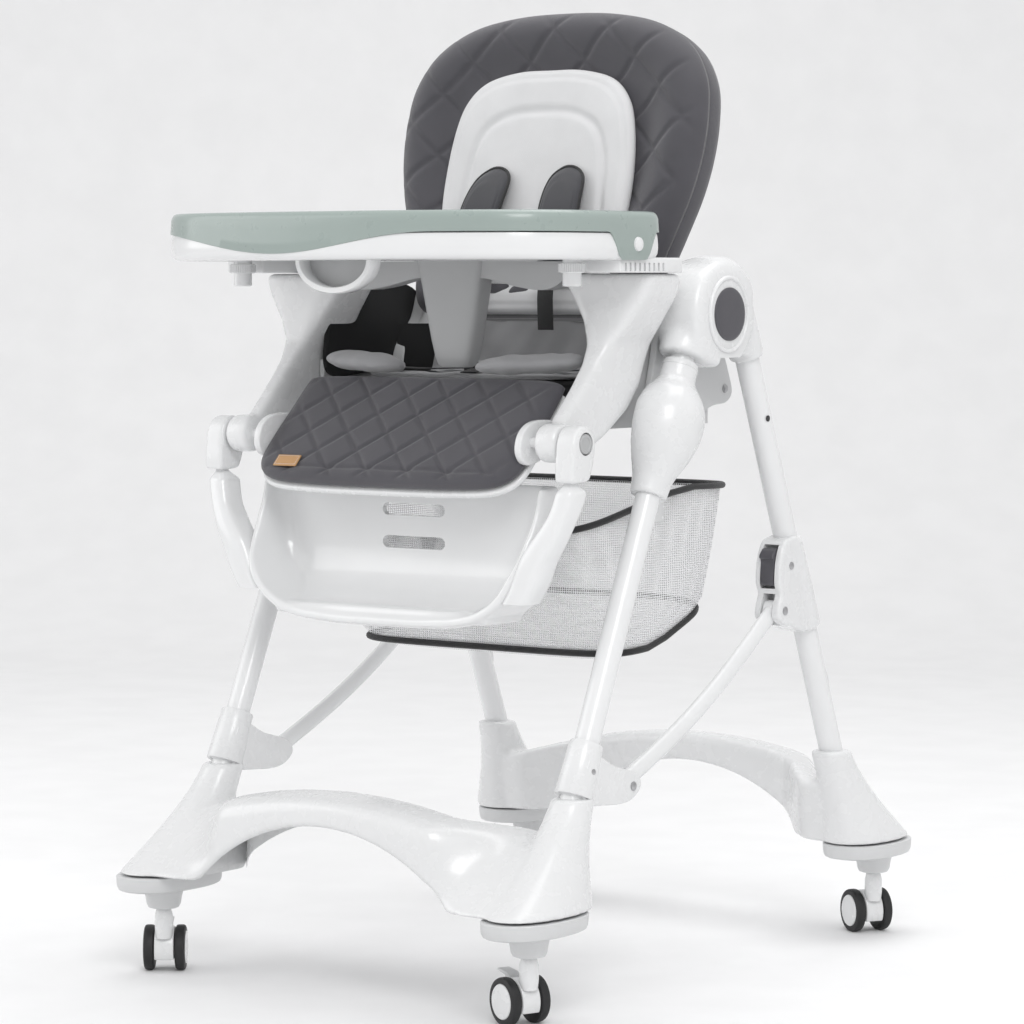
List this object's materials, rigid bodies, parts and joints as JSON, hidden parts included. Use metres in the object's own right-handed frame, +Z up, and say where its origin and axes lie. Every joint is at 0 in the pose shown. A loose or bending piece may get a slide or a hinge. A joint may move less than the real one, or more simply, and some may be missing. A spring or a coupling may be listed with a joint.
{
  "type": "baby high chair",
  "caption": "Folding baby high chair on casters with a sage-topped tray, quilted seat, tilting legrest and mesh basket.",
  "frame": {"origin": "floor level on the symmetry plane, midway between the front and rear caster stems", "axes": "+Z up, -Y towards the tray side, +X towards the chair's left hand as a seated child has it"},
  "size_m": [0.6121, 0.836, 1.1125],
  "materials": {
    "white_plastic": "gloss",
    "white_tube": "gloss",
    "grey_plastic": "satin",
    "dark_plastic": "satin",
    "steel": "satin",
    "sage_plastic": "gloss",
    "quilted_fabric": "woven",
    "liner_fabric": "woven",
    "black_fabric": "woven",
    "mesh_fabric": "mesh",
    "tyre": "matte"
  },
  "bodies": {
    "front_frame": {"front_base": "white_plastic", "front_foot_caps": "white_plastic", "front_leg_tubes": "white_tube", "front_collars": "white_plastic", "hub_housings": "white_plastic", "frame_pins": "steel", "hub_caps": "dark_plastic"},
    "rear_frame": {"rear_base": "white_plastic", "rear_foot_caps": "white_plastic", "rear_leg_tubes": "white_tube", "rear_knuckles": "white_plastic", "stop_buttons": "white_plastic", "rear_screws": "steel"},
    "seat": {"carriages": "white_plastic", "side_panels": "white_plastic", "seat_shell": "grey_plastic", "seat_cushion": "quilted_fabric", "seat_liner": "liner_fabric", "side_wings": "black_fabric", "recline_brackets": "grey_plastic", "harness_straps": "black_fabric", "buckle": "dark_plastic", "basket_mesh": "mesh_fabric", "basket_tape": "black_fabric", "basket_hangers": "mesh_fabric"},
    "buckle_press": {"buckle_button": "grey_plastic"},
    "backrest": {"back_shell": "white_plastic", "back_cover": "quilted_fabric", "back_liner": "liner_fabric", "shoulder_pads": "black_fabric", "shoulder_straps": "black_fabric"},
    "recline_grip": {"recline_handle": "grey_plastic"},
    "legrest": {"legrest_knuckles": "white_plastic", "calf_board": "white_plastic", "calf_pad": "quilted_fabric"},
    "foot_shelf": {"footrest": "white_plastic"},
    "tray": {"tray_base": "white_plastic", "tray_bar": "grey_plastic"},
    "tray_grip": {"tray_handle": "white_plastic"},
    "tray_top": {"tray_insert": "sage_plastic"},
    "sleeve_l": {"fold_sleeve_l": "white_plastic"},
    "latch_l": {"fold_latch_l": "dark_plastic"},
    "link_l": {"fold_link_l": "white_tube"},
    "leg_button_l": {"legrest_button_l": "dark_plastic"},
    "side_button_l": {"tray_button_l": "sage_plastic"},
    "brake_l": {"brake_lever_l": "white_plastic"},
    "sleeve_r": {"fold_sleeve_r": "white_plastic"},
    "latch_r": {"fold_latch_r": "dark_plastic"},
    "link_r": {"fold_link_r": "white_tube"},
    "leg_button_r": {"legrest_button_r": "dark_plastic"},
    "side_button_r": {"tray_button_r": "sage_plastic"},
    "brake_r": {"brake_lever_r": "white_plastic"},
    "caster_fl": {"caster_fork_fl": "white_plastic"},
    "wheels_fl": {"caster_wheels_fl": "tyre"},
    "caster_fr": {"caster_fork_fr": "white_plastic"},
    "wheels_fr": {"caster_wheels_fr": "tyre"},
    "caster_rl": {"caster_fork_rl": "white_plastic"},
    "wheels_rl": {"caster_wheels_rl": "tyre"},
    "caster_rr": {"caster_fork_rr": "white_plastic"},
    "wheels_rr": {"caster_wheels_rr": "tyre"}
  },
  "joints": [
    {"name": "fold", "type": "hinge", "parent": "front_frame", "child": "rear_frame", "pos_m": [0, -0.005, 0.755], "axis": [-1, 0, 0], "range_deg": [0, 30]},
    {"name": "sleeve_slide_l", "type": "slide", "parent": "rear_frame", "child": "sleeve_l", "axis": [0, -0.3694, 0.9293], "range_m": [0, 0.17955]},
    {"name": "latch_press_l", "type": "slide", "parent": "sleeve_l", "child": "latch_l", "axis": [0, 1, 0], "range_m": [0, 0.003], "stiffness_N_per_m": 150},
    {"name": "link_pivot_l", "type": "hinge", "parent": "sleeve_l", "child": "link_l", "pos_m": [-0.25, 0.139, 0.409], "axis": [1, 0, 0], "range_deg": [0, 67.2]},
    {"name": "sleeve_slide_r", "type": "slide", "parent": "rear_frame", "child": "sleeve_r", "axis": [0, -0.3694, 0.9293], "range_m": [0, 0.17955]},
    {"name": "latch_press_r", "type": "slide", "parent": "sleeve_r", "child": "latch_r", "axis": [0, 1, 0], "range_m": [0, 0.003], "stiffness_N_per_m": 150},
    {"name": "link_pivot_r", "type": "hinge", "parent": "sleeve_r", "child": "link_r", "pos_m": [0.25, 0.139, 0.409], "axis": [1, 0, 0], "range_deg": [0, 67.2]},
    {"name": "seat_height", "type": "slide", "parent": "front_frame", "child": "seat", "axis": [0, 0.4043, 0.9146], "range_m": [-0.18, 0]},
    {"name": "buckle_release", "type": "slide", "parent": "seat", "child": "buckle_press", "axis": [0, 0, -1], "range_m": [0, 0.0018], "stiffness_N_per_m": 120},
    {"name": "recline", "type": "hinge", "parent": "seat", "child": "backrest", "pos_m": [0, -0.008, 0.692], "axis": [-1, 0, 0], "range_deg": [0, 38]},
    {"name": "recline_lift", "type": "slide", "parent": "backrest", "child": "recline_grip", "axis": [0, 0.2147, 0.9767], "range_m": [0, 0.01], "stiffness_N_per_m": 150},
    {"name": "legrest_tilt", "type": "hinge", "parent": "seat", "child": "legrest", "pos_m": [0, -0.253, 0.617], "axis": [-1, 0, 0], "range_deg": [0, 50]},
    {"name": "legrest_press_l", "type": "slide", "parent": "legrest", "child": "leg_button_l", "axis": [1, 0, 0], "range_m": [0, 0.003], "stiffness_N_per_m": 150},
    {"name": "legrest_press_r", "type": "slide", "parent": "legrest", "child": "leg_button_r", "axis": [-1, 0, 0], "range_m": [0, 0.003], "stiffness_N_per_m": 150},
    {"name": "footrest_height", "type": "slide", "parent": "legrest", "child": "foot_shelf", "axis": [0, -0.12, -0.9928], "range_m": [0, 0.03]},
    {"name": "tray_slide", "type": "slide", "parent": "seat", "child": "tray", "axis": [0, -1, 0], "range_m": [0, 0.05]},
    {"name": "tray_release", "type": "slide", "parent": "tray", "child": "tray_grip", "axis": [0, -1, 0], "range_m": [0, 0.008], "stiffness_N_per_m": 150},
    {"name": "insert_lift", "type": "slide", "parent": "tray", "child": "tray_top", "axis": [0, 0, 1], "range_m": [0, 0.06]},
    {"name": "tray_press_l", "type": "slide", "parent": "tray", "child": "side_button_l", "axis": [1, 0, 0], "range_m": [0, 0.003], "stiffness_N_per_m": 150},
    {"name": "tray_press_r", "type": "slide", "parent": "tray", "child": "side_button_r", "axis": [-1, 0, 0], "range_m": [0, 0.003], "stiffness_N_per_m": 150},
    {"name": "swivel_fl", "type": "hinge", "parent": "front_frame", "child": "caster_fl", "pos_m": [-0.26, -0.3535, 0.09], "axis": [0, 0, 1], "continuous": true},
    {"name": "roll_fl", "type": "hinge", "parent": "caster_fl", "child": "wheels_fl", "pos_m": [-0.27073, -0.33905, 0.026], "axis": [-0.8028, -0.5962, 0], "continuous": true},
    {"name": "swivel_fr", "type": "hinge", "parent": "front_frame", "child": "caster_fr", "pos_m": [0.26, -0.3535, 0.09], "axis": [0, 0, 1], "continuous": true},
    {"name": "roll_fr", "type": "hinge", "parent": "caster_fr", "child": "wheels_fr", "pos_m": [0.24324, -0.34693, 0.026], "axis": [-0.3649, -0.9311, 0], "continuous": true},
    {"name": "swivel_rl", "type": "hinge", "parent": "rear_frame", "child": "caster_rl", "pos_m": [-0.26, 0.3535, 0.09], "axis": [0, 0, 1], "continuous": true},
    {"name": "roll_rl", "type": "hinge", "parent": "caster_rl", "child": "wheels_rl", "pos_m": [-0.27533, 0.36293, 0.026], "axis": [-0.524, -0.8517, 0], "continuous": true},
    {"name": "swivel_rr", "type": "hinge", "parent": "rear_frame", "child": "caster_rr", "pos_m": [0.26, 0.3535, 0.09], "axis": [0, 0, 1], "continuous": true},
    {"name": "roll_rr", "type": "hinge", "parent": "caster_rr", "child": "wheels_rr", "pos_m": [0.24467, 0.36293, 0.026], "axis": [-0.524, -0.8517, 0], "continuous": true},
    {"name": "brake_l", "type": "hinge", "parent": "caster_fl", "child": "brake_l", "pos_m": [-0.27968, -0.32701, 0.047], "axis": [-0.8028, -0.5962, 0], "range_deg": [0, 12]},
    {"name": "brake_r", "type": "hinge", "parent": "caster_fr", "child": "brake_r", "pos_m": [0.22928, -0.34146, 0.047], "axis": [-0.3649, -0.9311, 0], "range_deg": [0, 12]}
  ],
  "couplings": [
    {"joint": "sleeve_slide_l", "follows": "fold", "m_per_rad": 0.34292},
    {"joint": "link_pivot_l", "follows": "fold", "ratio": 2.24},
    {"joint": "sleeve_slide_r", "follows": "fold", "m_per_rad": 0.34292},
    {"joint": "link_pivot_r", "follows": "fold", "ratio": 2.24}
  ]
}
